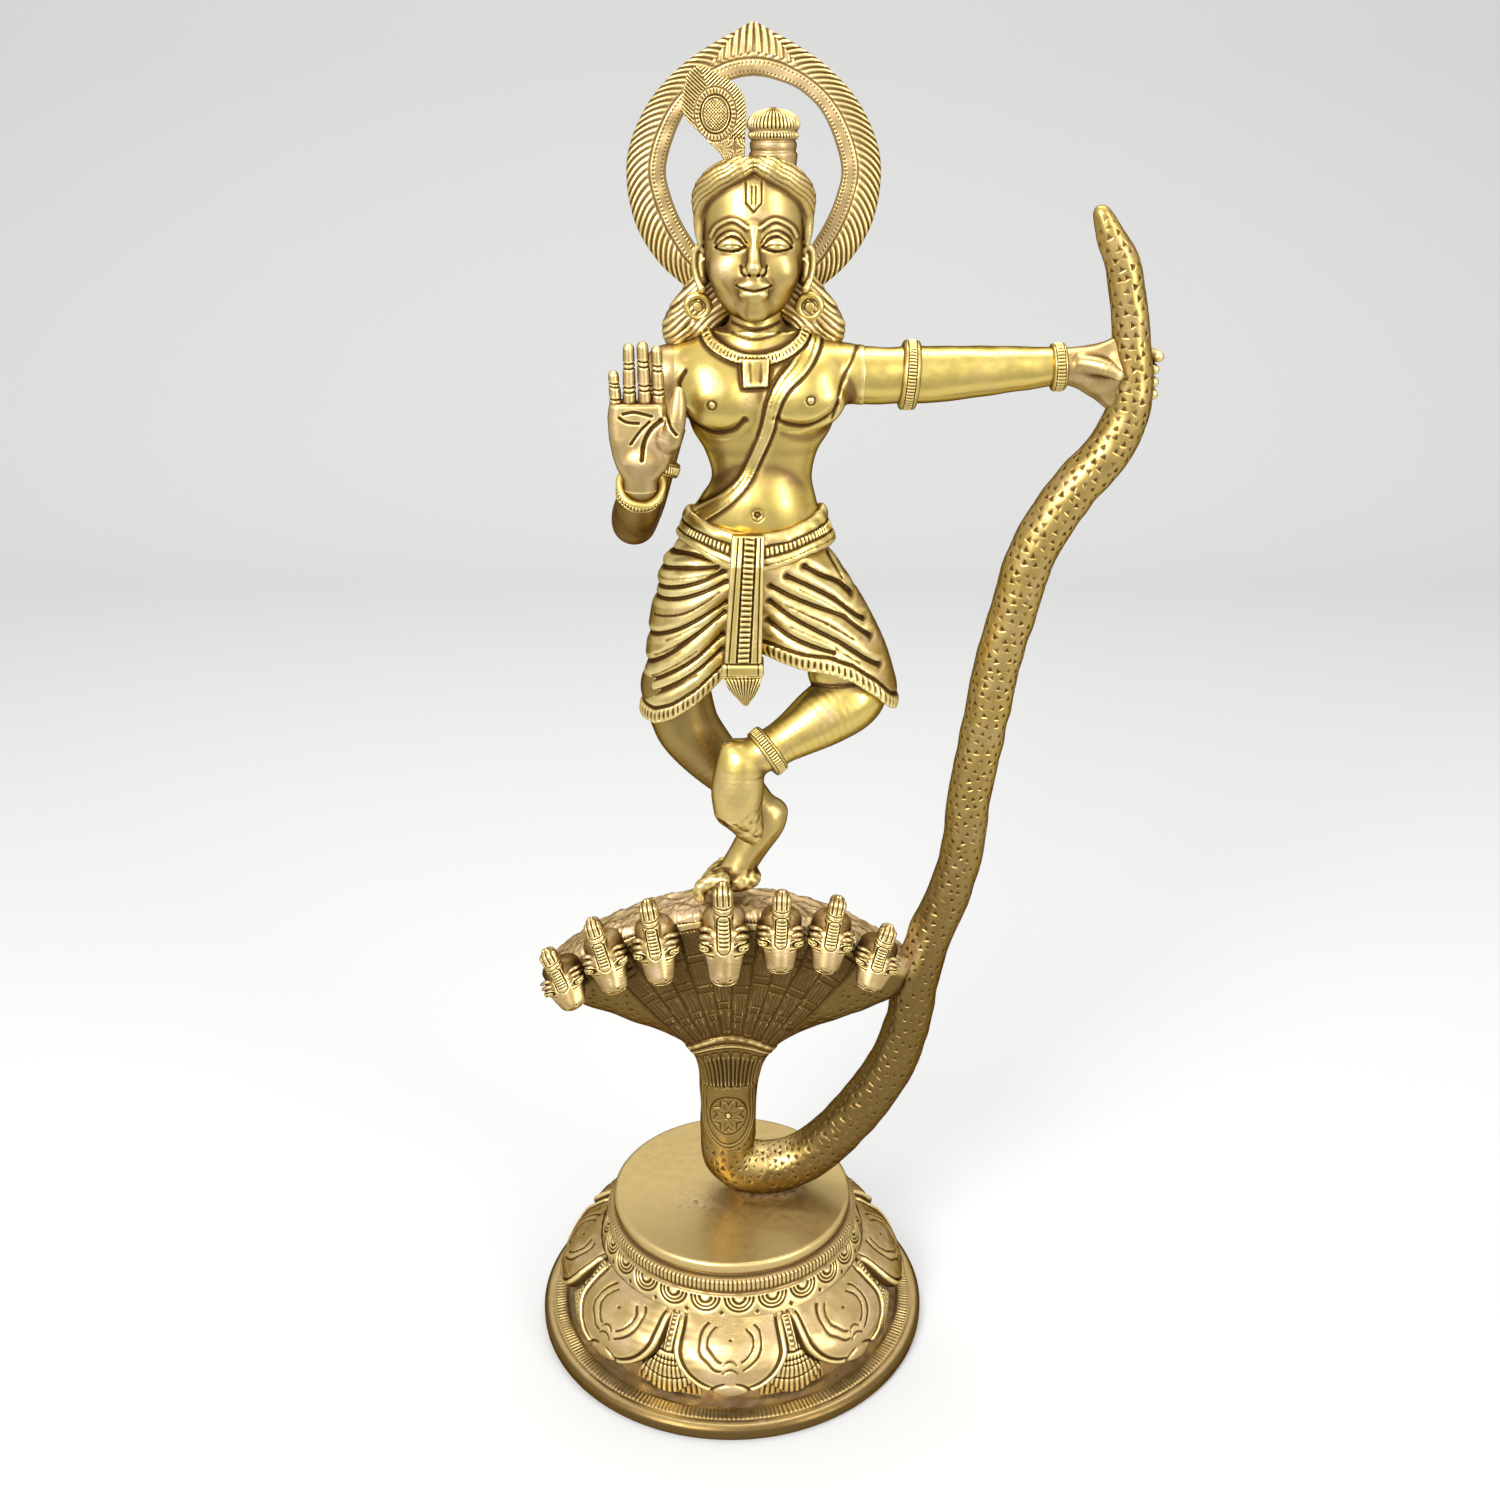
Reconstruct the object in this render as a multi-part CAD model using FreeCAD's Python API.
"""Brass statue: a figure dancing on a seven-headed serpent that stands on a lotus pedestal.

The frame's origin is the centre of the pedestal's underside. +Z is up, the statue faces -Y,
and +X is the side where the serpent's tail rises. Sizes are in millimetres.
Every sub-part is a separate solid. Castings meet on flat or exactly matching seats.
"""
import FreeCAD, Part
import math
import os

os.makedirs("parts", exist_ok=True)
Vec = FreeCAD.Vector
X_AXIS = Vec(1, 0, 0)
Y_AXIS = Vec(0, 1, 0)
Z_AXIS = Vec(0, 0, 1)
FAR = 600.0                      # longer than the statue, for cutting blocks

# ---- pedestal -----------------------------------------------------------------------
FLANGE_RADIUS = 73.0
FLANGE_HEIGHT = 6.2
PEDESTAL_HEIGHT = 49.5           # underside to the seat of the plinth disc
WALL = 3.2                       # thickness of the hollow casting
PETAL_COUNT = 8
PETAL_HALF_WIDTH = 20.0
UNDER_PETAL_HALF_WIDTH = 8.0
# Half outline of a petal: shares of its half width and of its height.
PETAL_OUTLINE = [(0.72, 1.0), (0.95, 0.67), (1.0, 0.45), (0.72, 0.11), (0.0, 0.0)]
# Bulging profiles of the large and of the small petals: radius, share of the height.
PETAL_PROFILE = [(54.5, 0.91), (64.0, 0.57), (66.6, 0.32), (65.2, 0.15), (60.5, 0.0)]
UNDER_PETAL_PROFILE = [(51.5, 0.91), (59.5, 0.57), (62.4, 0.30), (62.6, 0.12), (60.5, 0.0)]
PETAL_FOOT = 8.3                 # large petals' tips over the shelf
UNDER_PETAL_FOOT = 6.3
CORE_FOOT_RADIUS = 57.0          # wall behind the petals, at the flange
COLLAR_RADIUS = 49.5             # top of the petals
COLLAR_DEPTH = 14.0              # from the seat of the disc down to the petals' tops
BAND_DEPTH = 6.0                 # from the seat down to the plain groove over the collar
BAND_RADIUS = 46.0
RIB_RING_RADIUS = 47.0
MOUTH_RADIUS = 36.0              # opening in the pedestal's top, under the disc

# ---- plinth disc and its fastener ---------------------------------------------------
DISC_RADIUS = 44.7
DISC_THICKNESS = 4.1
DISC_EDGE = 0.6                  # bevel round the disc
SPIGOT_DEPTH = 2.0
SPIGOT_CLEARANCE = 0.3
BOLT_DIAMETER = 6.0
BOLT_CLEARANCE = 0.2
BOLT_ENGAGEMENT = 10.0           # length of the bolt inside the serpent
BOLT_HEAD_FLATS = 10.0
BOLT_HEAD_HEIGHT = 4.0
BOLT_X = 6.5                     # the serpent's lower bend stands over the bolt
WASHER_RADIUS = 14.0
WASHER_THICKNESS = 1.6

# ---- serpent ------------------------------------------------------------------------
BODY_RADIUS = 9.8                # thickest place, where the serpent lies on the disc
BODY_SINK = 1.4                  # depth of the flat filed on its underside
JOINT_X = 12.0                   # end of the neck casting's lower bend
TAIL_TENON = 7.0                 # length of the tail that fits over that end
GRIP_X = 124.9                   # where the hand holds the tail
GRIP_RISE = 48.0                 # over the waist
# The tail's centre line, as shares of the way from the joint to the grip, and its radius
# as a share of BODY_RADIUS.
TAIL_STATIONS = [
    (0.000, 0.000, 1.00), (0.075, 0.006, 0.98), (0.146, 0.020, 0.95), (0.237, 0.053, 0.93),
    (0.333, 0.103, 0.92), (0.416, 0.160, 0.88), (0.462, 0.221, 0.84), (0.485, 0.285, 0.82),
    (0.520, 0.342, 0.80), (0.571, 0.397, 0.77), (0.606, 0.455, 0.75), (0.617, 0.520, 0.75),
    (0.640, 0.584, 0.76), (0.663, 0.646, 0.77), (0.685, 0.702, 0.77), (0.719, 0.754, 0.78),
    (0.745, 0.801, 0.79), (0.792, 0.844, 0.80), (0.865, 0.889, 0.78), (0.944, 0.927, 0.75),
    (0.990, 0.964, 0.71), (1.000, 1.000, 0.66)]
# Above the grip the tail leans back. Offsets from the grip, and radius shares.
TAIL_END_STATIONS = [(-1.5, 13.7, 0.59), (-3.5, 25.6, 0.56), (-6.2, 35.7, 0.53),
                     (-10.6, 44.3, 0.44), (-13.6, 50.5, 0.28), (-15.0, 53.0, 0.08)]
# The lower bend and neck: x, height over the disc, half width and half depth.
NECK_STATIONS = [(3.4, 11.8, 10.8, 9.8), (-0.9, 22.5, 10.9, 9.5), (-1.1, 34.0, 10.6, 9.3),
                 (-1.1, 45.0, 10.6, 9.2)]

# ---- serpent's hood -----------------------------------------------------------------
HOOD_RISE = 124.9                # plinth disc to the crown of the hood
HOOD_HALF_SPAN = 64.0
RIM_DROP = 24.0                  # how far the rim's ends lie below its crown
HOOD_FRONT = -13.0               # flat band that carries the heads
HOOD_BACK = 8.5
RIM_ROUNDING = 4.0
HOOD_SQUARENESS = 3.2            # 2 is an oval section, more is squarer
TABLE_SPAN = 64.0                # half span for which the next two tables give their x
# The fan opens out: height over the disc, left edge, right edge, front and back.
FAN_STATIONS = [(56.0, -12.4, 11.6, -9.6, 8.6), (64.0, -15.8, 16.5, -10.2, 8.2),
                (70.5, -23.5, 24.0, -11.4, 8.2), (75.5, -35.0, 34.0, -13.0, 8.6),
                (80.0, -49.0, 46.0, -14.4, 9.0), (85.0, -60.0, 57.0, -15.4, 9.6),
                (91.0, -65.5, 66.0, -15.8, 10.0)]
FAN_OPENING = 25.0               # height over which the fan opens to the full span
# Heads from left to right: nose x, nose height, crest x, crest height (heights over the
# disc) and half width.
HEADS = [(-53.8, 92.0, -64.0, 110.5, 6.8), (-39.4, 98.6, -47.8, 122.5, 6.8),
         (-23.3, 102.1, -28.3, 129.6, 6.9), (-1.8, 102.2, -2.3, 136.0, 7.6),
         (17.1, 106.6, 17.9, 133.2, 6.9), (32.6, 106.4, 37.2, 131.0, 6.8),
         (47.7, 99.4, 55.0, 120.0, 6.8)]
HEAD_DEPTH = 13.5                # hood's front face to the nose tip
# Where a head stands on the hood: centre and half height, as shares of the way from the
# nose to the crest's top.
HEAD_ROOT = (0.46, 0.28)
# Snout sections: share of HEAD_DEPTH, share of the way up to the crest's top, and half
# sizes as shares of the half width and of that way.
SNOUT_STATIONS = [(0.35, 0.50, 0.95, 0.20), (0.68, 0.32, 0.80, 0.14), (0.92, 0.15, 0.70, 0.10),
                  (1.00, 0.08, 0.40, 0.05)]
SNOUT_SLOPE = (0.55, 0.83)       # down along the head, and forward
CREST_DEPTH = 5.0
CREST_HALF_WIDTH = 3.1

# ---- figure: levels over the hood's crown -------------------------------------------
WAIST_RISE = 127.5               # where the torso stands on the waist cloth
WAIST_X = 8.5
WAIST_HALF_WIDTH = 21.0
WAIST_HALF_DEPTH = 13.0
SEAT_HEIGHT = 7.0                # plain length of torso and of cloth inside the belt
BELT_HEIGHT = 10.0
# Torso stations: height over the waist, centre x, half width, half depth.
TORSO_STATIONS = [(0.0, 0.0, 21.0, 13.0), (7.0, 0.0, 21.0, 13.0), (14.0, 0.6, 18.6, 11.8),
                  (21.0, 1.8, 15.9, 10.6), (29.0, 1.6, 18.8, 12.0), (37.0, 2.0, 23.4, 14.0),
                  (46.0, 2.4, 27.0, 14.6), (54.0, 2.6, 27.0, 12.6), (61.0, 1.8, 22.0, 9.6),
                  (66.0, 0.6, 13.0, 7.6)]
SHOULDER_Z = 51.5                # shoulder axis over the waist
SHOULDER_RADIUS = 9.2
RIGHT_SHOULDER_X = -15.0         # flat seats of the two arm castings
LEFT_SHOULDER_X = 41.0
NECK_X = 8.7
NECK_RADIUS = 8.2
NECK_TOP = 75.0                  # over the waist

# ---- figure: head -------------------------------------------------------------------
HEAD_X = 8.0
HEAD_CENTRE = 92.5               # over the waist
HEAD_HALF_WIDTH = 15.4
HEAD_HALF_DEPTH = 14.0
FACE_Y = -3.0                    # the face stands a little forward of the neck
HEAD_HALF_HEIGHT = 22.5
HAIR_RADIUS = 17.6
HAIR_HALF_DEPTH = 12.4
HAIR_HALF_HEIGHT = 17.0
HAIR_Z = 97.5
EAR_HALF_WIDTH = 2.2
EAR_HALF_DEPTH = 3.6
EAR_HALF_HEIGHT = 7.0
NOSE_HALF_SIZE = (2.6, 3.4, 5.6)
EARRING_RADIUS = 4.5
EARRING_THICKNESS = 2.4
EARRING_Z = 71.6
EARRING_OFFSET = 17.0            # from the head's centre plane
LOCK_HALF_SPAN = 29.5            # hair spread over both shoulders
LOCK_DEPTH = 6.0
# Half outline of the spread hair: share of LOCK_HALF_SPAN, height over the waist.
LOCK_OUTLINE = [(0.45, 84.5), (0.56, 80.0), (0.69, 74.0), (0.9, 66.0), (1.0, 58.0), (0.5, 61.0)]
LOCK_MIDDLE = 59.0               # lower edge behind the neck
KNOT_X = 13.7
KNOT_RADIUS = 7.9
KNOT_BASE = 109.0
KNOT_TOP = 127.6
# Bands under the knot's dome, then the dome: share of KNOT_RADIUS, height over the waist.
KNOT_BANDS = [(0.98, 116.2), (0.9, 116.2), (0.9, 117.4), (1.02, 117.8), (1.02, 119.2),
              (0.86, 119.8)]
KNOT_DOME = [(0.86, 119.8), (1.0, 122.6), (0.72, 126.0), (0.0, KNOT_TOP)]
FEATHER_THICKNESS = 2.6
FEATHER_Y = -4.0
FEATHER_OUTLINE = [(1.0, 108.0), (-4.4, 118.5), (-12.2, 125.0), (-13.2, 131.5), (-8.4, 139.0),
                   (0.0, 136.5), (5.0, 130.5), (5.4, 123.0), (4.0, 108.0)]

# ---- halo ---------------------------------------------------------------------------
HALO_FRONT = 13.5
HALO_THICKNESS = 3.4
HALO_OUTER_HALF_WIDTH = 38.6
HALO_INNER_HALF_WIDTH = 26.2
HALO_CENTRE_Z = 110.5            # over the waist
HALO_APEX_RISE = 40.7            # pointed top over the halo's centre
HALO_CROWN_RISE = 26.0           # top of the inner opening over the centre
HALO_FOOT_DROP = 44.5
HALO_OPENING_DROP = 33.0
# Half outline: share of the outer half width, height over the halo's centre.
HALO_OUTLINE = [(0.0, HALO_APEX_RISE), (0.142, 37.2), (0.44, 31.5), (0.65, 25.5), (0.83, 18.6),
                (1.0, 0.0), (0.93, -15.0), (0.62, -34.5), (0.0, -HALO_FOOT_DROP)]
HALO_SCREW_RADIUS = 1.6
HALO_SCREW_HEAD_RADIUS = 3.0
HALO_SCREW_LENGTH = 12.0
HALO_SCREW_HEAD_HEIGHT = 1.6

# ---- arms ---------------------------------------------------------------------------
RIGHT_ELBOW = Vec(-29.0, -7.0, 6.5)      # over the waist, as are the wrists
RIGHT_WRIST = Vec(-25.6, -31.0, 24.5)
UPPER_ARM_RADIUS = 8.6
RIGHT_ELBOW_RADIUS = 7.4
WRIST_RADIUS = 5.0
LEFT_ARM_RADIUS = 8.8
LEFT_WRIST_RADIUS = 5.4
LEFT_HAND_START = 104.0
LEFT_WRIST_Z = 53.6
PALM_HALF_WIDTH = 10.6
PALM_HALF_THICKNESS = 4.0
PALM_LENGTH = 23.0
FINGER_RADIUS = 2.5
# Open hand: height over the wrist, sideways offset, half width and half thickness.
PALM_STATIONS = [(-8.0, 0.0, 5.2, WRIST_RADIUS), (-1.0, 0.2, 6.0, WRIST_RADIUS),
                 (6.0, 0.6, PALM_HALF_WIDTH * 0.88, 4.6),
                 (14.0, 1.4, PALM_HALF_WIDTH, PALM_HALF_THICKNESS),
                 (PALM_LENGTH, 1.4, PALM_HALF_WIDTH * 0.97, PALM_HALF_THICKNESS - 0.8)]
# Its four fingers from the little one: sideways offset, reach over the palm.
OPEN_FINGERS = [(-7.0, 9.0), (-2.4, 16.5), (2.2, 17.5), (6.8, 16.0)]
THUMB_BASE = Vec(7.5, -1.0, 7.0)         # from the wrist
THUMB_TIP = Vec(12.5, -2.0, 27.0)
# Fist: heights of the four fingers over the wrist.
FIST_FINGERS = (3.6, -0.9, -5.4, -9.9)
BANGLE_THICKNESS = 1.8
BANGLE_CLEARANCE = 0.15
ARMLET_WIDTH = 4.6
ARMLET_SHARE = 0.59              # how far down the right upper arm its ring sits
LEFT_ARMLET_X = 56.0
BRACELET_WIDTH = 4.2

# ---- waist cloth and legs -----------------------------------------------------------
LEFT_HEM = Vec(-16.0, -1.0, -60.0)        # centre of the hem round the standing leg
LEFT_HEM_SIZE = (13.6, 14.0)
LEFT_HEM_NORMAL = Vec(0.50, 0, -0.86)
RIGHT_HEM = Vec(33.5, -6.0, -44.0)        # centre of the hem round the raised leg
RIGHT_HEM_SIZE = (22.0, 17.5)
RIGHT_HEM_NORMAL = Vec(-0.40, 0, -0.915)
# Hips: height over the waist, centre x, half width and half depth.
HIP_STATIONS = [(-SEAT_HEIGHT, -0.3, 27.5, 17.0), (-16.0, -0.6, 31.5, 18.4),
                (-26.0, 0.2, 34.0, 18.8)]
# Belt: share of its height, and how far it stands out from the waist in x and y.
BELT_STATIONS = [(0.0, 3.6, 3.4), (0.5, 4.4, 4.2), (1.0, 2.8, 3.0)]
PLEAT_HALF_WIDTH = 4.2
PLEAT_FRONT = -22.6
PLEAT_BACK = -13.5
PLEAT_LENGTH = 41.0
# Pleat: share of its length, centre x, added half width.
PLEAT_STATIONS = [(0.0, 7.4, 0.0), (0.56, 7.0, 0.3), (0.88, 6.4, 0.5), (1.0, 6.0, 1.4)]
TASSEL_LENGTH = 13.0
# Tassel: share of its length, half width and half depth.
TASSEL_STATIONS = [(0.0, 4.6, 2.2), (0.35, 4.9, 2.4), (0.75, 2.6, 1.7), (1.0, 0.6, 0.5)]
TASSEL_Y = -20.4
KNEE_RADIUS = 11.0
CALF_RADIUS = 8.8
ANKLE_RADIUS = 5.6
ANKLET_WIDTH = 5.0
ANKLE_RISE = 36.5                # ankle of the standing leg over the hood's crown
# Shin of the standing leg: x, y, share of the way from the hem down to the ankle.
SHIN_STATIONS = [(-9.0, -1.0, 6 / 31), (0.5, 0.0, 19.5 / 31)]
# Standing foot from heel to toes: x, y and height over the hood's crown, half sizes.
STANDING_FOOT = [(17.2, 1.5, 35.0, 3.1, 3.1), (13.8, 1.0, 29.5, 6.4, 6.4),
                 (8.2, 0.0, 20.5, 6.4, 6.4), (3.6, -1.0, 11.5, 7.4, 5.6),
                 (-1.6, -2.5, 4.8, 7.8, 4.6), (-8.8, -4.0, 2.4, 6.2, 2.0)]
RAISED_ANKLE = Vec(13.0, -20.0, -65.0)    # over the waist
# Raised foot: from the heel's centre, half sizes.
RAISED_FOOT = [(0.4, 0.5, 5.5, 3.4, 3.2), (0.3, 0.0, 1.5, 6.0, 6.2), (1.4, -0.5, -10.0, 5.6, 7.2),
               (2.4, -1.0, -21.0, 4.4, 6.6), (1.4, -1.0, -31.0, 2.0, 3.4)]

# ---- levels worked out from the sizes above -----------------------------------------
DISC_TOP = PEDESTAL_HEIGHT + DISC_THICKNESS
BODY_Z = DISC_TOP + BODY_RADIUS - BODY_SINK
HOOD_TOP = DISC_TOP + HOOD_RISE
WAIST_Z = HOOD_TOP + WAIST_RISE
GRIP_Z = WAIST_Z + GRIP_RISE


# ---- helpers ------------------------------------------------------------------------
def block(low, high):
    """Box between two corners."""
    size = high - low
    return Part.makeBox(size.x, size.y, size.z, low)


def above(z):
    return block(Vec(-FAR, -FAR, z), Vec(FAR, FAR, z + FAR))


def below(z):
    return block(Vec(-FAR, -FAR, z - FAR), Vec(FAR, FAR, z))


def beyond(point, normal):
    """Half space on the far side of a plane, in the direction of its normal."""
    half = block(Vec(-FAR, -FAR, 0), Vec(FAR, FAR, FAR))
    half.Placement = FreeCAD.Placement(point, FreeCAD.Rotation(Z_AXIS, normal))
    return half


def oval(centre, normal, side, half_side, half_other, power=2.0, count=8):
    """Closed smooth outline across normal: half_side along side, half_other across it."""
    along = Vec(normal).normalize()
    first = (side - along * side.dot(along)).normalize()
    second = along.cross(first)
    points = []
    for i in range(count):
        angle = 2 * math.pi * i / count
        c, s = math.cos(angle), math.sin(angle)
        u = math.copysign(abs(c) ** (2 / power), c) * half_side
        v = math.copysign(abs(s) ** (2 / power), s) * half_other
        points.append(centre + first * u + second * v)
    curve = Part.BSplineCurve()
    curve.interpolate(points, PeriodicFlag=True)
    return Part.Wire([curve.toShape()])


def skin(wires):
    """Smooth solid through outlines, with its faces turned outwards."""
    body = Part.makeLoft(wires, True, False)
    if body.Volume < 0:
        body.reverse()
    return body


def limb(points, radii, side=Y_AXIS, ends=None):
    """Round body through points. Its sections stand across the path."""
    last = len(points) - 1
    wires = []
    for i, (point, radius) in enumerate(zip(points, radii)):
        normal = points[min(i + 1, last)] - points[max(i - 1, 0)]
        if ends and i in (0, last):
            normal = ends[0 if i == 0 else 1] or normal
        half = radius if isinstance(radius, tuple) else (radius, radius)
        wires.append(oval(point, normal, side, *half))
    return skin(wires)


def stack(stations, base, power=2.0):
    """Body through level ovals: height, centre x, half width and half depth of each."""
    return skin([oval(base + Vec(x, 0, z), Z_AXIS, X_AXIS, wide, deep, power)
                 for z, x, wide, deep in stations])


def egg(centre, half_x, half_y, half_z):
    """Rounded upright body with small flats at its two ends."""
    wires = []
    for degrees in (-76, -55, -30, 0, 30, 55, 76):
        across = math.cos(math.radians(degrees))
        rise = half_z * math.sin(math.radians(degrees)) / math.sin(math.radians(76))
        wires.append(oval(centre + Vec(0, 0, rise), Z_AXIS, X_AXIS,
                          half_x * across, half_y * across))
    return skin(wires)


def bangle(centre, axis, limb_radius, width):
    """Ring ornament with a rounded outside, loose enough for the limb that it is on."""
    half = width / 2
    inner = limb_radius + BANGLE_CLEARANCE
    outer = inner + BANGLE_THICKNESS
    arc = Part.Arc(Vec(inner + 0.6, 0, half), Vec(outer, 0, 0), Vec(inner + 0.6, 0, -half))
    lines = Part.makePolygon([Vec(inner + 0.6, 0, -half), Vec(inner, 0, -half),
                              Vec(inner, 0, half), Vec(inner + 0.6, 0, half)])
    face = Part.Face(Part.Wire([arc.toShape()] + lines.Edges))
    ring = face.revolve(Vec(0, 0, 0), Z_AXIS, 360)
    ring.Placement = FreeCAD.Placement(centre, FreeCAD.Rotation(Z_AXIS, axis))
    return ring


def smooth_edge(points):
    curve = Part.BSplineCurve()
    curve.interpolate(points)
    return curve.toShape()


def biggest(shape):
    return max(shape.Solids, key=lambda solid: solid.Volume)


def join(first, *others):
    for other in others:
        first = first.fuse(other)
    return first


def save(name, shape):
    solids = shape.Solids
    if len(solids) != 1 or not solids[0].isValid():
        print("CHECK", name, len(solids), "solids, valid", [s.isValid() for s in solids])
    shape = solids[0] if len(solids) == 1 else Part.makeCompound(solids)
    shape.exportStep("parts/%s.step" % name)
    return shape


# ---- pedestal -----------------------------------------------------------------------
def revolved(points):
    wire = Part.makePolygon([Vec(r, 0, z) for r, z in points + points[:1]])
    return Part.Face(wire).revolve(Vec(0, 0, 0), Z_AXIS, 360)


def petal(bulge, half_width, foot, top, turn):
    """One petal: the bulging ring cut to a rounded shield, seen from outside."""
    right = [Vec(half_width * across, 0, foot + (top - foot) * up)
             for across, up in PETAL_OUTLINE]
    left = [Vec(-point.x, 0, point.z) for point in right]
    outline = Part.Wire([smooth_edge(left + right[-2::-1]), Part.makeLine(right[0], left[0])])
    shape = bulge.common(Part.Face(outline).extrude(Vec(0, -FAR, 0)))
    shape.rotate(Vec(0, 0, 0), Z_AXIS, turn)
    return shape


def bulge_ring(profile, foot, top):
    """Ring whose outside is the petals' bulging profile."""
    points = [Vec(COLLAR_RADIUS - 1, 0, top)]
    points += [Vec(radius, 0, foot + (top - foot) * share) for radius, share in profile]
    inner_foot = Vec(CORE_FOOT_RADIUS - WALL, 0, foot)
    inner_top = Vec(COLLAR_RADIUS - WALL, 0, top)
    wire = Part.Wire([smooth_edge(points), Part.makeLine(points[-1], inner_foot),
                      Part.makeLine(inner_foot, inner_top), Part.makeLine(inner_top, points[0])])
    return Part.Face(wire).revolve(Vec(0, 0, 0), Z_AXIS, 360)


def lotus_pedestal():
    floor = FLANGE_HEIGHT + 0.6
    collar = PEDESTAL_HEIGHT - COLLAR_DEPTH
    band = PEDESTAL_HEIGHT - BAND_DEPTH
    outside = [(FLANGE_RADIUS - 1.2, 0), (FLANGE_RADIUS, 1.2), (FLANGE_RADIUS, FLANGE_HEIGHT - 1.4),
               (FLANGE_RADIUS - 1.4, FLANGE_HEIGHT), (CORE_FOOT_RADIUS, floor),
               (CORE_FOOT_RADIUS - 1.5, floor + 12), (COLLAR_RADIUS, collar),
               (COLLAR_RADIUS, collar + 2), (BAND_RADIUS, band),
               (RIB_RING_RADIUS, band), (RIB_RING_RADIUS, PEDESTAL_HEIGHT - 1),
               (DISC_RADIUS - 1, PEDESTAL_HEIGHT - 1), (DISC_RADIUS - 1, PEDESTAL_HEIGHT)]
    hollow = [(MOUTH_RADIUS, PEDESTAL_HEIGHT), (MOUTH_RADIUS, PEDESTAL_HEIGHT - 4),
              (BAND_RADIUS - WALL, PEDESTAL_HEIGHT - 4), (BAND_RADIUS - WALL, PEDESTAL_HEIGHT - 7),
              (COLLAR_RADIUS - WALL, collar), (CORE_FOOT_RADIUS - WALL - 1.5, floor + 12),
              (CORE_FOOT_RADIUS - WALL, floor - WALL), (FLANGE_RADIUS - 2 * WALL, floor - WALL),
              (FLANGE_RADIUS - 2 * WALL, 0)]
    shape = revolved(outside + hollow)
    large = bulge_ring(PETAL_PROFILE, PETAL_FOOT, collar)
    small = bulge_ring(UNDER_PETAL_PROFILE, UNDER_PETAL_FOOT, collar)
    step = 360.0 / PETAL_COUNT
    petals = []
    for i in range(PETAL_COUNT):
        petals.append(petal(large, PETAL_HALF_WIDTH, PETAL_FOOT, collar, i * step))
        petals.append(petal(small, UNDER_PETAL_HALF_WIDTH, UNDER_PETAL_FOOT, collar,
                            (i + 0.5) * step))
    return join(shape, *petals)


def plinth_disc():
    spigot = MOUTH_RADIUS - SPIGOT_CLEARANCE
    hole = BOLT_DIAMETER / 2 + BOLT_CLEARANCE
    disc = revolved([(0, PEDESTAL_HEIGHT - SPIGOT_DEPTH), (spigot, PEDESTAL_HEIGHT - SPIGOT_DEPTH),
                     (spigot, PEDESTAL_HEIGHT), (DISC_RADIUS, PEDESTAL_HEIGHT),
                     (DISC_RADIUS, DISC_TOP - DISC_EDGE), (DISC_RADIUS - DISC_EDGE, DISC_TOP),
                     (0, DISC_TOP)])
    return disc.cut(Part.makeCylinder(hole, FAR, Vec(BOLT_X, 0, 0)))


def base_washer():
    level = PEDESTAL_HEIGHT - SPIGOT_DEPTH - WASHER_THICKNESS
    washer = Part.makeCylinder(WASHER_RADIUS, WASHER_THICKNESS, Vec(BOLT_X, 0, level))
    return washer.cut(Part.makeCylinder(BOLT_DIAMETER / 2 + BOLT_CLEARANCE, FAR, Vec(BOLT_X, 0, 0)))


def base_bolt():
    seat = PEDESTAL_HEIGHT - SPIGOT_DEPTH - WASHER_THICKNESS
    corner = BOLT_HEAD_FLATS / math.sqrt(3)
    corners = [Vec(BOLT_X + corner * math.cos(math.radians(60 * i)),
                   corner * math.sin(math.radians(60 * i)), seat - BOLT_HEAD_HEIGHT)
               for i in range(7)]
    head = Part.Face(Part.makePolygon(corners)).extrude(Vec(0, 0, BOLT_HEAD_HEIGHT))
    shank = Part.makeCylinder(BOLT_DIAMETER / 2, DISC_TOP + BOLT_ENGAGEMENT - seat,
                              Vec(BOLT_X, 0, seat))
    return join(head, shank)


# ---- serpent ------------------------------------------------------------------------
def tail_path():
    start = Vec(JOINT_X, 0, BODY_Z)
    grip = Vec(GRIP_X, 0, GRIP_Z)
    points = [start - Vec(TAIL_TENON, 0, 0)]
    points += [start + Vec((grip.x - start.x) * across, 0, (grip.z - start.z) * up)
               for across, up, share in TAIL_STATIONS]
    points += [grip + Vec(across, 0, up) for across, up, share in TAIL_END_STATIONS]
    radii = [BODY_RADIUS * share for across, up, share in TAIL_STATIONS + TAIL_END_STATIONS]
    return points, [radii[0] - 0.8] + radii


def serpent_tail_blank():
    """The tail before its lower end is notched to fit the neck."""
    points, radii = tail_path()
    return limb(points, radii, ends=(X_AXIS, None)).cut(below(DISC_TOP))


def spread(x, height):
    """Place across the hood for its present half span. The neck keeps its width."""
    opened = min(1, max(0, (height - FAN_STATIONS[0][0]) / FAN_OPENING))
    return x + x * opened * (HOOD_HALF_SPAN / TABLE_SPAN - 1)


def rim_radius():
    return (HOOD_HALF_SPAN ** 2 + RIM_DROP ** 2) / (2 * RIM_DROP)


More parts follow.
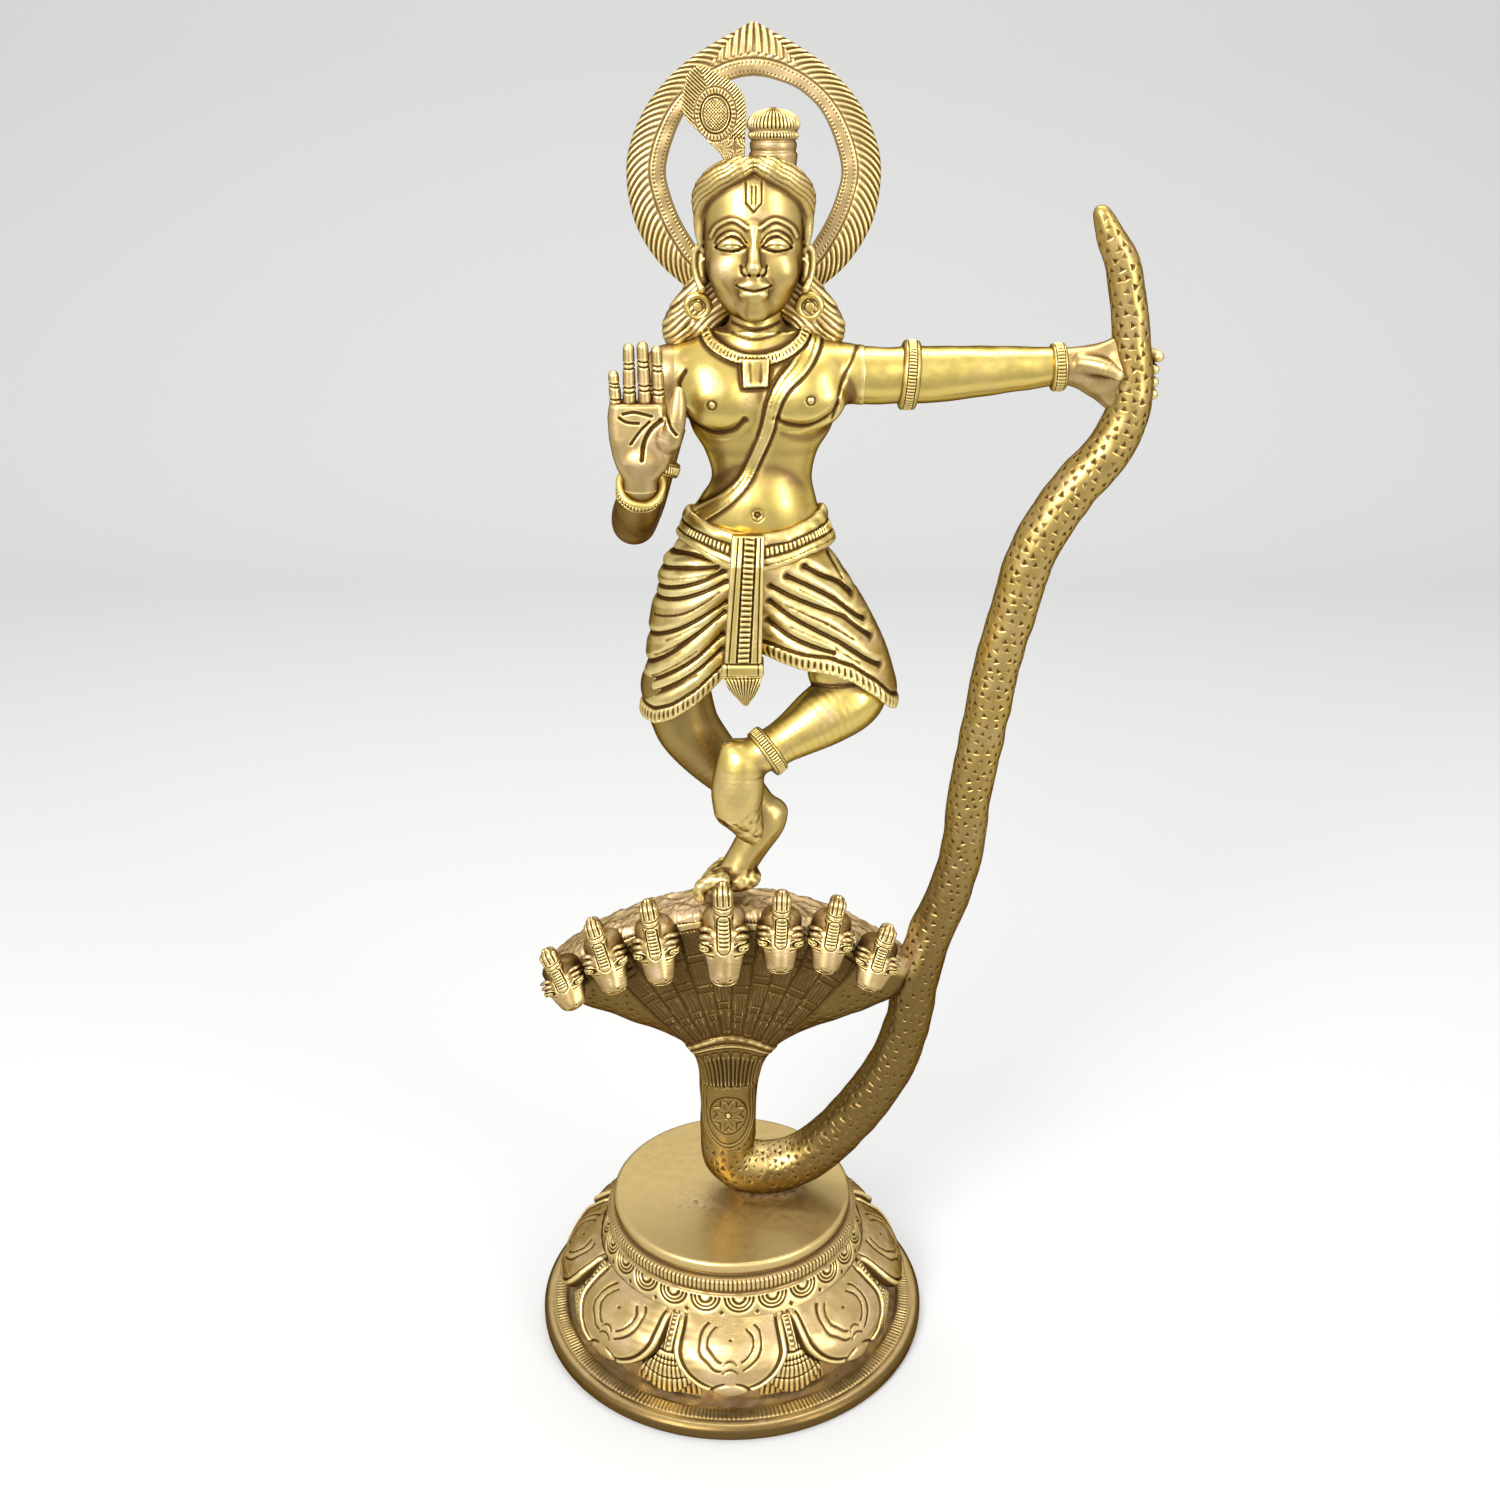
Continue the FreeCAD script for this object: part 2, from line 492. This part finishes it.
def hood_barrel():
    """Round about a Y axis: its rim is the hood's top edge, rounded front and back."""
    radius = rim_radius()
    edge = RIM_ROUNDING
    bend = edge * (1 - math.sqrt(0.5))
    wire = Part.Wire([
        Part.makeLine(Vec(0, HOOD_FRONT, 0), Vec(radius - edge, HOOD_FRONT, 0)),
        Part.Arc(Vec(radius - edge, HOOD_FRONT, 0), Vec(radius - bend, HOOD_FRONT + bend, 0),
                 Vec(radius, HOOD_FRONT + edge, 0)).toShape(),
        Part.makeLine(Vec(radius, HOOD_FRONT + edge, 0), Vec(radius, HOOD_BACK - edge, 0)),
        Part.Arc(Vec(radius, HOOD_BACK - edge, 0), Vec(radius - bend, HOOD_BACK - bend, 0),
                 Vec(radius - edge, HOOD_BACK, 0)).toShape(),
        Part.makeLine(Vec(radius - edge, HOOD_BACK, 0), Vec(0, HOOD_BACK, 0)),
        Part.makeLine(Vec(0, HOOD_BACK, 0), Vec(0, HOOD_FRONT, 0))])
    barrel = Part.Face(wire).revolve(Vec(0, 0, 0), Y_AXIS, 360)
    barrel.translate(Vec(0, 0, HOOD_TOP - radius))
    return barrel


def serpent_hood_blank():
    """Lower bend, neck and fan as one casting, before it is notched for the tail."""
    base = Vec(0, 0, DISC_TOP)
    end = Vec(JOINT_X, 0, BODY_Z)
    count = 16
    wires = [oval(end, -X_AXIS, Y_AXIS, BODY_RADIUS * 0.55, BODY_RADIUS * 0.55, count=count),
             oval(end - Vec(3.2, 0, 0), -X_AXIS, Y_AXIS, BODY_RADIUS, BODY_RADIUS, count=count)]
    for i, (x, z, wide, deep) in enumerate(NECK_STATIONS):
        normal = Vec(-0.75, 0, 0.66) if i == 0 else Z_AXIS
        wires.append(oval(base + Vec(x, 0, z), normal, Y_AXIS, deep, wide, count=count))
    for z, left, right, front, back in FAN_STATIONS:
        left, right = spread(left, z), spread(right, z)
        centre = base + Vec((left + right) / 2, (front + back) / 2, z)
        squareness = min(HOOD_SQUARENESS, 2 + (z - FAN_STATIONS[0][0]) / 12)
        wires.append(oval(centre, Z_AXIS, Y_AXIS, (back - front) / 2, (right - left) / 2,
                          squareness, count))
    top = Part.Face(wires[-1]).extrude(Vec(0, 0, HOOD_RISE))
    shape = join(skin(wires), top).common(hood_barrel()).cut(below(DISC_TOP))
    hole = Part.makeCylinder(BOLT_DIAMETER / 2, BOLT_ENGAGEMENT + 1, Vec(BOLT_X, 0, DISC_TOP))
    return shape.cut(hole)


def serpent():
    """Tail and hood. The tail fits over the neck's end, and the hood's tip fits the tail."""
    tail = serpent_tail_blank()
    hood = serpent_hood_blank()
    split = DISC_TOP + FAN_STATIONS[0][0]
    notched_tail = biggest(tail.cut(hood.common(below(split))))
    notched_hood = biggest(hood.cut(tail.common(above(split))))
    return notched_tail, notched_hood


def serpent_head(nose_x, nose_z, crest_x, crest_z, half_width):
    """Blunt snout pointing down and forward, under a flat crest. Its back is flat."""
    nose = Vec(spread(nose_x, nose_z), HOOD_FRONT, DISC_TOP + nose_z)
    up = Vec(spread(crest_x, crest_z), HOOD_FRONT, DISC_TOP + crest_z) - nose
    length = up.Length
    up.normalize()
    side = up.cross(Y_AXIS)

    def place(forward, share):
        return nose + up * (length * share) - Y_AXIS * forward

    snout_way = up * -SNOUT_SLOPE[0] - Y_AXIS * SNOUT_SLOPE[1]
    root = oval(place(-1.0, HEAD_ROOT[0]), -Y_AXIS, side, half_width, length * HEAD_ROOT[1])
    snout = skin([root]
                 + [oval(place(HEAD_DEPTH * forward, share), snout_way, side,
                         half_width * wide, length * high)
                    for forward, share, wide, high in SNOUT_STATIONS])
    crest = skin([
        oval(place(HEAD_DEPTH * 0.30, 0.52), up, side, CREST_HALF_WIDTH, CREST_DEPTH),
        oval(place(CREST_DEPTH * 0.45, 0.76), up, side, CREST_HALF_WIDTH, CREST_DEPTH * 0.7),
        oval(place(CREST_DEPTH * 0.40, 0.90), up, side, CREST_HALF_WIDTH * 0.9,
             CREST_DEPTH * 0.5),
        oval(place(CREST_DEPTH * 0.40, 1.0), up, side, CREST_HALF_WIDTH * 0.3,
             CREST_DEPTH * 0.2)])
    return biggest(join(snout, crest).cut(beyond(Vec(0, HOOD_FRONT, 0), Y_AXIS)))


# ---- figure: waist, torso and head --------------------------------------------------
def waist(x, y, z):
    """Point placed from the seam between torso and waist cloth."""
    return Vec(x, y, WAIST_Z + z)


def torso():
    shoulder_bar = limb([waist(RIGHT_SHOULDER_X, 0, SHOULDER_Z), waist(NECK_X, 1, SHOULDER_Z + 1),
                         waist(LEFT_SHOULDER_X, 0, SHOULDER_Z - 0.5)],
                        [SHOULDER_RADIUS, SHOULDER_RADIUS + 0.8, LEFT_ARM_RADIUS],
                        ends=(X_AXIS, X_AXIS))
    neck = Part.makeCylinder(NECK_RADIUS, NECK_TOP - SHOULDER_Z, waist(NECK_X, 0, SHOULDER_Z))
    shape = join(stack(TORSO_STATIONS, waist(WAIST_X, 0, 0)), shoulder_bar, neck)
    return shape.cut(halo_screw_hole())


def halo_screw_axis(depth):
    return waist(HEAD_X, HALO_FRONT + HALO_THICKNESS - depth,
                 HALO_CENTRE_Z - (HALO_FOOT_DROP + HALO_OPENING_DROP) / 2)


def halo_screw_hole():
    return Part.makeCylinder(HALO_SCREW_RADIUS, HALO_SCREW_LENGTH + 2,
                             halo_screw_axis(HALO_SCREW_LENGTH), Y_AXIS)


def head(body):
    face = egg(waist(HEAD_X, FACE_Y, HEAD_CENTRE), HEAD_HALF_WIDTH, HEAD_HALF_DEPTH,
               HEAD_HALF_HEIGHT)
    hair = egg(waist(HEAD_X, 0.5, HAIR_Z), HAIR_RADIUS, HAIR_HALF_DEPTH, HAIR_HALF_HEIGHT)
    ear_z = EARRING_Z + EARRING_RADIUS + EAR_HALF_HEIGHT - 0.5
    ears = [egg(waist(HEAD_X + side * (HEAD_HALF_WIDTH + 0.8), 0, ear_z),
                EAR_HALF_WIDTH, EAR_HALF_DEPTH, EAR_HALF_HEIGHT) for side in (-1, 1)]
    nose = egg(waist(HEAD_X, FACE_Y - HEAD_HALF_DEPTH + 1, HEAD_CENTRE - 4), *NOSE_HALF_SIZE)
    return biggest(join(face, hair, *ears, nose).cut(body))


def earring(side, head_shape):
    centre = waist(HEAD_X + side * EARRING_OFFSET, -EARRING_THICKNESS / 2, EARRING_Z)
    disc = Part.makeCylinder(EARRING_RADIUS, EARRING_THICKNESS, centre, Y_AXIS)
    return biggest(disc.cut(head_shape))


def hair_locks(body, head_shape):
    """Hair behind the neck, spread over both shoulders."""
    right = [Vec(LOCK_HALF_SPAN * share, 0, z) for share, z in LOCK_OUTLINE]
    left = [Vec(-point.x, 0, point.z) for point in reversed(right)]
    curve = Part.BSplineCurve()
    curve.interpolate(right + [Vec(0, 0, LOCK_MIDDLE)] + left, PeriodicFlag=True)
    shape = Part.Face(Part.Wire([curve.toShape()])).extrude(Vec(0, LOCK_DEPTH, 0))
    shape.translate(waist(HEAD_X, HALO_FRONT - LOCK_DEPTH, 0))
    return biggest(shape.cut(body).cut(head_shape).cut(halo_screw_hole()))


def topknot(head_shape):
    """Turned knot of hair: two bands and a ribbed dome."""
    rim, dome = [[Vec(KNOT_RADIUS * share, 0, z) for share, z in rows]
                 for rows in (KNOT_BANDS, KNOT_DOME)]
    base = Vec(0, 0, KNOT_BASE)
    bands = Part.makePolygon([base, Vec(rim[0].x, 0, KNOT_BASE)] + rim)
    axis = Part.makeLine(Vec(0, 0, KNOT_TOP), base)
    wire = Part.Wire(bands.Edges + [smooth_edge(dome), axis])
    knot = Part.Face(wire).revolve(Vec(0, 0, 0), Z_AXIS, 360)
    knot.translate(waist(KNOT_X, 0, 0))
    return biggest(knot.cut(head_shape))


def peacock_feather(head_shape, knot):
    curve = Part.BSplineCurve()
    curve.interpolate([waist(x, FEATHER_Y, z) for x, z in FEATHER_OUTLINE], PeriodicFlag=True)
    leaf = Part.Face(Part.Wire([curve.toShape()])).extrude(Vec(0, FEATHER_THICKNESS, 0))
    return biggest(leaf.cut(head_shape).cut(knot))


def halo():
    """Pointed ring behind the head, held by one screw through its foot."""
    right = [(HALO_OUTER_HALF_WIDTH * share, z) for share, z in HALO_OUTLINE]
    left = [(-x, z) for x, z in reversed(right)]
    centre = waist(HEAD_X, HALO_FRONT, HALO_CENTRE_Z)
    outline = Part.Wire([smooth_edge([centre + Vec(x, 0, z) for x, z in side])
                         for side in (right, left)])
    plate = Part.Face(outline).extrude(Vec(0, HALO_THICKNESS, 0))
    half_height = (HALO_CROWN_RISE + HALO_OPENING_DROP) / 2
    opening_centre = centre + Vec(0, 0, HALO_CROWN_RISE - half_height)
    opening = Part.Face(oval(opening_centre, Y_AXIS, X_AXIS, HALO_INNER_HALF_WIDTH,
                             half_height)).extrude(Vec(0, HALO_THICKNESS, 0))
    return plate.cut(opening).cut(halo_screw_hole())


def halo_screw():
    start = halo_screw_axis(HALO_SCREW_LENGTH)
    shank = Part.makeCylinder(HALO_SCREW_RADIUS, HALO_SCREW_LENGTH, start, Y_AXIS)
    cap = Part.makeCylinder(HALO_SCREW_HEAD_RADIUS, HALO_SCREW_HEAD_HEIGHT,
                            halo_screw_axis(0), Y_AXIS)
    return join(shank, cap)


# ---- arms ---------------------------------------------------------------------------
def right_arm(body):
    """Upper arm hanging from the shoulder and forearm coming forward, cut at the wrist."""
    shoulder = waist(RIGHT_SHOULDER_X, 0, SHOULDER_Z)
    elbow = waist(*RIGHT_ELBOW)
    wrist = waist(*RIGHT_WRIST)
    hang = elbow - shoulder
    fore = wrist - elbow
    ball = egg(shoulder + Vec(-2.0, 0, -0.6), SHOULDER_RADIUS + 0.4, SHOULDER_RADIUS,
               SHOULDER_RADIUS + 0.6)
    upper = limb([shoulder + hang * 0.04 - Vec(2.5, 0, 0), shoulder + hang * 0.42 - Vec(2, 0, 0),
                  elbow - hang * 0.12, elbow + hang * 0.08],
                 [SHOULDER_RADIUS * 0.9, UPPER_ARM_RADIUS - 0.4, RIGHT_ELBOW_RADIUS,
                  RIGHT_ELBOW_RADIUS * 0.55], side=X_AXIS)
    lower = limb([elbow - fore * 0.22, elbow + fore * 0.02, elbow + fore * 0.4,
                  wrist - fore * 0.2, wrist + fore * 0.15],
                 [RIGHT_ELBOW_RADIUS * 0.5, RIGHT_ELBOW_RADIUS - 0.5, RIGHT_ELBOW_RADIUS - 0.4,
                  WRIST_RADIUS + 0.4, WRIST_RADIUS], side=X_AXIS)
    arm = join(upper, ball, lower).cut(beyond(Vec(RIGHT_SHOULDER_X, 0, 0), X_AXIS))
    past_wrist = Part.makeCylinder(3 * WRIST_RADIUS, PALM_LENGTH, wrist, wrist_normal())
    return biggest(arm.cut(past_wrist).cut(body))


def armlet_right(arm, body):
    """Ring shrunk on the upper arm, so it is cut to the arm's exact shape."""
    shoulder = waist(RIGHT_SHOULDER_X, 0, SHOULDER_Z)
    hang = waist(*RIGHT_ELBOW) - shoulder
    centre = shoulder + hang * ARMLET_SHARE - Vec(1.4, 0, 0)
    return biggest(bangle(centre, hang, UPPER_ARM_RADIUS - 1.1, ARMLET_WIDTH).cut(arm).cut(body))


def finger(base, tip, radius, bow=Vec(0, 0, 0)):
    """Finger with a rounded end."""
    way = tip - base
    points = [base, base + way * 0.5 + bow, base + way * 0.88, tip]
    return limb(points, [radius, radius, radius * 0.9, radius * 0.45], side=Y_AXIS)


def right_hand():
    """Open palm facing forward, fingers up."""
    wrist = waist(*RIGHT_WRIST)
    shape = stack(PALM_STATIONS, wrist, 2.3)
    for offset, reach in OPEN_FINGERS:
        base = wrist + Vec(offset + 0.6, 0, PALM_LENGTH - 4)
        tip = wrist + Vec(offset, 0, PALM_LENGTH + reach)
        shape = shape.fuse(finger(base, tip, FINGER_RADIUS))
    thumb = finger(wrist + THUMB_BASE, wrist + THUMB_TIP, FINGER_RADIUS + 0.6, Vec(1.5, 0, 0))
    shape = shape.fuse(thumb)
    return biggest(shape.cut(beyond(wrist, wrist_normal() * -1)))


def wrist_normal():
    """The wrist's seam leans from the forearm's way towards upright."""
    return (Vec(RIGHT_WRIST) - Vec(RIGHT_ELBOW)).normalize() + Z_AXIS


def left_arm():
    start = waist(LEFT_SHOULDER_X, 0, SHOULDER_Z - 0.5)
    end = waist(LEFT_HAND_START, 0, LEFT_WRIST_Z)
    stations = ((0.0, 1.0), (0.3, 0.89), (0.7, 0.72), (1.0, LEFT_WRIST_RADIUS / LEFT_ARM_RADIUS))
    return limb([start + (end - start) * share for share, size in stations],
                [LEFT_ARM_RADIUS * size for share, size in stations], ends=(X_AXIS, X_AXIS))


def left_hand(tail):
    """Fist round the tail: four fingers behind it and the thumb in front."""
    wrist = waist(LEFT_HAND_START, 0, LEFT_WRIST_Z)
    reach = GRIP_X - LEFT_HAND_START
    palm = limb([wrist, wrist + Vec(reach * 0.3, 0, -0.5), wrist + Vec(reach * 0.62, 1, -1.5),
                 wrist + Vec(reach * 0.85, 2, -2)],
                [LEFT_WRIST_RADIUS, (5.4, 6.4), (5.2, 7.6), (3.4, 6.8)],
                ends=(X_AXIS, None))
    back = BODY_RADIUS * 0.68 + FINGER_RADIUS - 0.6
    shapes = [palm]
    for height in FIST_FINGERS:
        path = [wrist + Vec(x, y, height) for x, y in (
            (reach * 0.5, 2.5), (reach * 0.78, back - 1.5), (reach, back + 0.4),
            (reach + 5.6, back - 1.8), (reach + 8.6, back - 6.0))]
        shapes.append(limb(path, [2.1, 2.1, 2.1, 2.0, 1.3], side=Z_AXIS))
    thumb = [wrist + Vec(reach * 0.42, -3, 1), wrist + Vec(reach * 0.72, -back + 1.0, 2),
             wrist + Vec(reach * 0.98, -back + 0.2, 2.5)]
    shapes.append(limb(thumb, [3.0, 2.8, 1.8], side=Z_AXIS))
    return biggest(join(*shapes).cut(tail))


# ---- waist cloth, belt and legs -----------------------------------------------------
def waist_cloth():
    neck = stack([(-SEAT_HEIGHT - 2, 0, WAIST_HALF_WIDTH, WAIST_HALF_DEPTH),
                  (0, 0, WAIST_HALF_WIDTH, WAIST_HALF_DEPTH)], waist(WAIST_X, 0, 0))
    hips = stack(HIP_STATIONS, waist(WAIST_X, 0, 0))
    left = skin([oval(waist(-7.5, 0, -18), Z_AXIS, Y_AXIS, 17.0, 16.8),
                 oval(waist(-12.5, 0, -38), Vec(0.1, 0, 1), Y_AXIS, 15.6, 15.4),
                 oval(waist(*LEFT_HEM), LEFT_HEM_NORMAL * -1, Y_AXIS, *LEFT_HEM_SIZE[::-1])])
    right = skin([oval(waist(19.5, 0, -17), Z_AXIS, Y_AXIS, 17.0, 19.0),
                  oval(waist(27.0, -3, -32), Vec(-0.2, 0, 1), Y_AXIS, 17.4, 20.0),
                  oval(waist(*RIGHT_HEM), RIGHT_HEM_NORMAL * -1, Y_AXIS,
                       *RIGHT_HEM_SIZE[::-1])])
    return join(neck, hips, left, right)


def belt(body, cloth):
    ring = stack([(BELT_HEIGHT * share - SEAT_HEIGHT, 0, WAIST_HALF_WIDTH + wide,
                   WAIST_HALF_DEPTH + deep) for share, wide, deep in BELT_STATIONS],
                 waist(WAIST_X, 0, 0))
    return biggest(ring.cut(cloth).cut(body))


def front_pleat(cloth, belt_shape):
    """Flat pleated end of the cloth, hanging over the belt."""
    top = BELT_HEIGHT - SEAT_HEIGHT
    wires = []
    for share, x, wider in PLEAT_STATIONS:
        half, z = PLEAT_HALF_WIDTH + wider, top - PLEAT_LENGTH * share
        corners = [waist(x - half, PLEAT_FRONT, z), waist(x + half, PLEAT_FRONT, z),
                   waist(x + half, PLEAT_BACK, z), waist(x - half, PLEAT_BACK, z)]
        wires.append(Part.makePolygon(corners + corners[:1]))
    strip = Part.makeLoft(wires, True, True)
    return biggest(strip.cut(cloth).cut(belt_shape))


def pleat_tassel(cloth):
    top = BELT_HEIGHT - SEAT_HEIGHT - PLEAT_LENGTH
    wires = [oval(waist(6.0, TASSEL_Y, top - TASSEL_LENGTH * share), Z_AXIS, X_AXIS, half, deep)
             for share, half, deep in TASSEL_STATIONS]
    return biggest(skin(wires).cut(cloth))


def standing_leg(hood):
    """Leg on tiptoe: knee under the hem, ankle, heel and foot on the hood's crown."""
    start = waist(*LEFT_HEM)
    foot = -WAIST_RISE
    way = foot + ANKLE_RISE - LEFT_HEM.z
    shin = [waist(x, y, LEFT_HEM.z + way * share) for x, y, share in SHIN_STATIONS]
    calf = limb([start + Vec(-3.5, 0, 8), start + Vec(0, 0, -1)] + shin
                + [waist(8.0, 1, foot + ANKLE_RISE), waist(11.5, 1, foot + ANKLE_RISE - 5.5)],
                [KNEE_RADIUS - 1, KNEE_RADIUS, CALF_RADIUS + 0.6, CALF_RADIUS - 1.4,
                 ANKLE_RADIUS + 0.2, ANKLE_RADIUS - 0.8])
    sole = limb([waist(x, y, foot + z) for x, y, z, wide, thick in STANDING_FOOT],
                [(wide, thick) for x, y, z, wide, thick in STANDING_FOOT])
    shape = calf.fuse(sole).cut(beyond(start, LEFT_HEM_NORMAL * -1)).cut(hood)
    return biggest(shape)


def raised_leg():
    """Bent leg: knee under the hem, shank across the front, foot hanging toes down."""
    start = waist(*RIGHT_HEM)
    knee = start + Vec(10.0, -2.5, -5.0)
    ankle = waist(*RAISED_ANKLE)
    shank = ankle - knee
    heel = ankle + Vec(-9.0, -1.0, -0.5)
    calf = limb([knee + Vec(6.0, 0.5, 2.0), knee + Vec(1.0, 0, 0.5), knee + shank * 0.22,
                 knee + shank * 0.55, ankle, ankle + shank * 0.14],
                [KNEE_RADIUS * 0.55, KNEE_RADIUS * 0.95, KNEE_RADIUS, CALF_RADIUS, ANKLE_RADIUS,
                 ANKLE_RADIUS])
    foot = limb([heel + Vec(x, y, z) for x, y, z, wide, deep in RAISED_FOOT],
                [(wide, deep) for x, y, z, wide, deep in RAISED_FOOT])
    return biggest(calf.fuse(foot).cut(beyond(start, RIGHT_HEM_NORMAL * -1)))


# ---- build --------------------------------------------------------------------------
save("lotus_pedestal", lotus_pedestal())
save("plinth_disc", plinth_disc())
save("base_washer", base_washer())
save("base_bolt", base_bolt())
tail, hood = serpent()
save("serpent_tail", tail)
save("serpent_hood", hood)
for number, sizes in enumerate(HEADS, 1):
    save("serpent_head_%d" % number, serpent_head(*sizes))

body = save("torso", torso())
head_shape = save("head", head(body))
save("hair_locks", hair_locks(body, head_shape))
save("earring_right", earring(-1, head_shape))
save("earring_left", earring(1, head_shape))
knot = save("topknot", topknot(head_shape))
save("peacock_feather", peacock_feather(head_shape, knot))
save("halo", halo())
save("halo_screw", halo_screw())

arm_right = save("right_arm", right_arm(body))
save("right_hand", right_hand().cut(arm_right))
save("armlet_right", armlet_right(arm_right, body))
save("left_arm", left_arm())
save("left_hand", left_hand(tail))
elbow = waist(*RIGHT_ELBOW)
wrist = waist(*RIGHT_WRIST)
save("bracelet_right", bangle(wrist + (elbow - wrist) * 0.16, elbow - wrist,
                              WRIST_RADIUS + 0.5, BRACELET_WIDTH))
save("armlet_left", bangle(waist(LEFT_ARMLET_X, 0, 51.6), X_AXIS, LEFT_ARM_RADIUS * 0.925,
                           ARMLET_WIDTH))
save("bracelet_left", bangle(waist(LEFT_HAND_START - 2.8, 0, LEFT_WRIST_Z - 0.1), X_AXIS,
                             LEFT_WRIST_RADIUS + 0.2, BRACELET_WIDTH))

cloth = save("waist_cloth", waist_cloth())
belt_shape = save("belt", belt(body, cloth))
save("front_pleat", front_pleat(cloth, belt_shape))
save("pleat_tassel", pleat_tassel(cloth))
save("standing_leg", standing_leg(hood))
save("raised_leg", raised_leg())
save("anklet", bangle(waist(*RAISED_ANKLE) + Vec(2.4, 0.8, 0.8), Vec(0.87, 0.33, 0.37),
                      ANKLE_RADIUS + 1.3, ANKLET_WIDTH))
